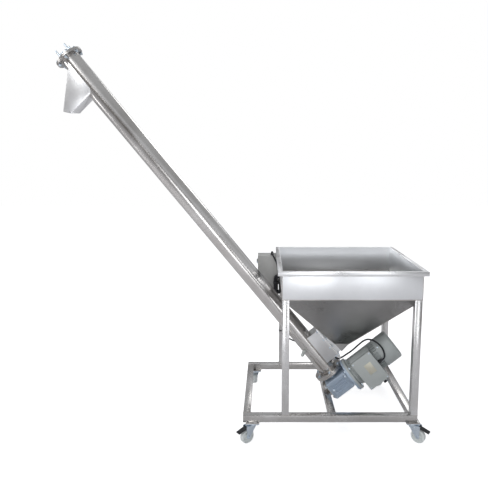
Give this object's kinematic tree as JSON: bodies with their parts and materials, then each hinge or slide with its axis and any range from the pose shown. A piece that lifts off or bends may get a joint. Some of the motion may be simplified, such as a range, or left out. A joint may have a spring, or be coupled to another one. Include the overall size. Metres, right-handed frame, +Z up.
{
  "type": "inclined screw auger with feed hopper",
  "caption": "Stainless inclined screw auger with a square feed hopper, worm gearmotor, side discharge chute and a wheeled tube frame.",
  "frame": {"origin": "on the floor, under the middle of the whole object's box", "axes": "+Z up; the auger climbs towards -X; the gearmotor hangs on the -Y side, the front, and the control box stands on the +Y side"},
  "size_m": [2.1214, 0.8883, 2.2341],
  "materials": {
    "satin_frame": "satin",
    "bright_sheet": "bright",
    "dark_sheet": "satin",
    "satin_sheet": "satin",
    "polished_tube": "polished",
    "machined_steel": "machined",
    "zinc": "zinc plated",
    "gasket_rubber": "matte",
    "pale_knob": "semi gloss",
    "bronze": "machined",
    "gearbox_paint": "fine cast, painted",
    "motor_paint": "semi gloss",
    "box_paint": "fine texture",
    "black_plastic": "matte",
    "cable_sheath": "matte",
    "green_plastic": "gloss",
    "red_plastic": "gloss",
    "wheel_plastic": "satin"
  },
  "bodies": {
    "frame": {"base_long_rails": "satin_frame", "base_cross_rails": "satin_frame", "rail_end_caps": "satin_frame", "hopper_legs": "satin_frame", "gearbox_bracket": "satin_frame", "caster_pads": "satin_frame", "hopper_skirt": "bright_sheet", "hopper_cone": "dark_sheet", "hopper_rim": "bright_sheet", "hopper_spout": "satin_sheet", "inlet_gasket": "gasket_rubber", "inlet_box": "satin_sheet", "auger_tube": "polished_tube", "tube_flanges": "machined_steel", "end_flange": "machined_steel", "head_plate": "machined_steel", "head_bearing": "zinc", "hex_bolts": "zinc", "discharge_chute": "bright_sheet", "cleanout_hinge": "machined_steel", "gearbox_housing": "gearbox_paint", "gearbox_cover": "gearbox_paint", "cap_screws": "zinc", "motor_flange": "motor_paint", "motor_housing": "motor_paint", "motor_fan_cover": "motor_paint", "terminal_box": "motor_paint", "terminal_lid": "motor_paint", "cable_glands": "black_plastic", "motor_cable": "cable_sheath", "cable_hank": "cable_sheath", "cable_ties": "black_plastic", "control_box": "box_paint", "box_brackets": "satin_frame", "box_hinge_pins": "zinc", "caster_plates": "zinc"},
    "screw": {"screw_shaft": "machined_steel", "screw_flight": "satin_sheet", "worm_wheel": "bronze"},
    "rotor": {"motor_shaft": "machined_steel", "motor_fan": "black_plastic"},
    "cleanout_door": {"cleanout_door": "polished_tube"},
    "cleanout_latch": {"cleanout_latch": "pale_knob"},
    "control_door": {"control_door": "box_paint"},
    "main_switch": {"main_switch": "black_plastic"},
    "start_button": {"start_button": "green_plastic"},
    "stop_button": {"stop_button": "red_plastic"},
    "fork_front_left": {"fork_front_left": "zinc"},
    "wheel_front_left": {"wheel_front_left": "wheel_plastic"},
    "pedal_front_left": {"pedal_front_left": "black_plastic"},
    "fork_front_right": {"fork_front_right": "zinc"},
    "wheel_front_right": {"wheel_front_right": "wheel_plastic"},
    "pedal_front_right": {"pedal_front_right": "black_plastic"},
    "fork_rear_left": {"fork_rear_left": "zinc"},
    "wheel_rear_left": {"wheel_rear_left": "wheel_plastic"},
    "pedal_rear_left": {"pedal_rear_left": "black_plastic"},
    "fork_rear_right": {"fork_rear_right": "zinc"},
    "wheel_rear_right": {"wheel_rear_right": "wheel_plastic"},
    "pedal_rear_right": {"pedal_rear_right": "black_plastic"}
  },
  "joints": [
    {"name": "screw_spin", "type": "hinge", "parent": "frame", "child": "screw", "pos_m": [0.53924, -0.01364, 0.2718], "axis": [-0.6293, 0, 0.7771], "continuous": true},
    {"name": "rotor_spin", "type": "hinge", "parent": "frame", "child": "rotor", "pos_m": [0.59493, -0.07664, 0.20302], "axis": [0.7771, 0, 0.6293], "continuous": true},
    {"name": "cleanout_door_hinge", "type": "hinge", "parent": "frame", "child": "cleanout_door", "pos_m": [0.49575, 0.04474, 0.2842], "axis": [0.6293, 0, -0.7771], "range_deg": [0, 100]},
    {"name": "cleanout_latch_turn", "type": "hinge", "parent": "frame", "child": "cleanout_latch", "pos_m": [0.38214, -0.0596, 0.40451], "axis": [-0.4995, -0.766, -0.4045], "range_deg": [0, 90]},
    {"name": "control_door_hinge", "type": "hinge", "parent": "frame", "child": "control_door", "pos_m": [0.08064, 0.37736, 0.735], "axis": [0, 0, 1], "range_deg": [0, 110]},
    {"name": "main_switch_turn", "type": "hinge", "parent": "control_door", "child": "main_switch", "pos_m": [0.15514, 0.37936, 0.885], "axis": [0, 1, 0], "range_deg": [0, 90]},
    {"name": "start_press", "type": "slide", "parent": "control_door", "child": "start_button", "axis": [0, -1, 0], "range_m": [0, 0.003], "stiffness_N_per_m": 150},
    {"name": "stop_press", "type": "slide", "parent": "control_door", "child": "stop_button", "axis": [0, -1, 0], "range_m": [0, 0.003], "stiffness_N_per_m": 200},
    {"name": "swivel_front_left", "type": "hinge", "parent": "frame", "child": "fork_front_left", "pos_m": [0.06864, -0.36964, 0.104], "axis": [0, 0, 1], "continuous": true},
    {"name": "roll_front_left", "type": "hinge", "parent": "fork_front_left", "child": "wheel_front_left", "pos_m": [0.03669, -0.39371, 0.04], "axis": [0.6018, -0.7986, 0], "continuous": true},
    {"name": "brake_front_left", "type": "hinge", "parent": "fork_front_left", "child": "pedal_front_left", "pos_m": [0.0303, -0.39853, 0.091], "axis": [0.6018, -0.7986, 0], "range_deg": [0, 18]},
    {"name": "swivel_front_right", "type": "hinge", "parent": "frame", "child": "fork_front_right", "pos_m": [0.96764, -0.36964, 0.104], "axis": [0, 0, 1], "continuous": true},
    {"name": "roll_front_right", "type": "hinge", "parent": "fork_front_right", "child": "wheel_front_right", "pos_m": [1.0004, -0.39258, 0.04], "axis": [0.5736, 0.8192, 0], "continuous": true},
    {"name": "brake_front_right", "type": "hinge", "parent": "fork_front_right", "child": "pedal_front_right", "pos_m": [1.00696, -0.39717, 0.091], "axis": [0.5736, 0.8192, 0], "range_deg": [0, 18]},
    {"name": "swivel_rear_left", "type": "hinge", "parent": "frame", "child": "fork_rear_left", "pos_m": [0.06864, 0.34236, 0.104], "axis": [0, 0, 1], "continuous": true},
    {"name": "roll_rear_left", "type": "hinge", "parent": "fork_rear_left", "child": "wheel_rear_left", "pos_m": [0.05496, 0.37995, 0.04], "axis": [-0.9397, -0.342, 0], "continuous": true},
    {"name": "brake_rear_left", "type": "hinge", "parent": "fork_rear_left", "child": "pedal_rear_left", "pos_m": [0.05222, 0.38747, 0.091], "axis": [-0.9397, -0.342, 0], "range_deg": [0, 18]},
    {"name": "swivel_rear_right", "type": "hinge", "parent": "frame", "child": "fork_rear_right", "pos_m": [0.96764, 0.34236, 0.104], "axis": [0, 0, 1], "continuous": true},
    {"name": "roll_rear_right", "type": "hinge", "parent": "fork_rear_right", "child": "wheel_rear_right", "pos_m": [0.93005, 0.32868, 0.04], "axis": [0.342, -0.9397, 0], "continuous": true},
    {"name": "brake_rear_right", "type": "hinge", "parent": "fork_rear_right", "child": "pedal_rear_right", "pos_m": [0.92253, 0.32594, 0.091], "axis": [0.342, -0.9397, 0], "range_deg": [0, 18]}
  ],
  "couplings": [
    {"joint": "rotor_spin", "follows": "screw_spin", "ratio": 10}
  ]
}
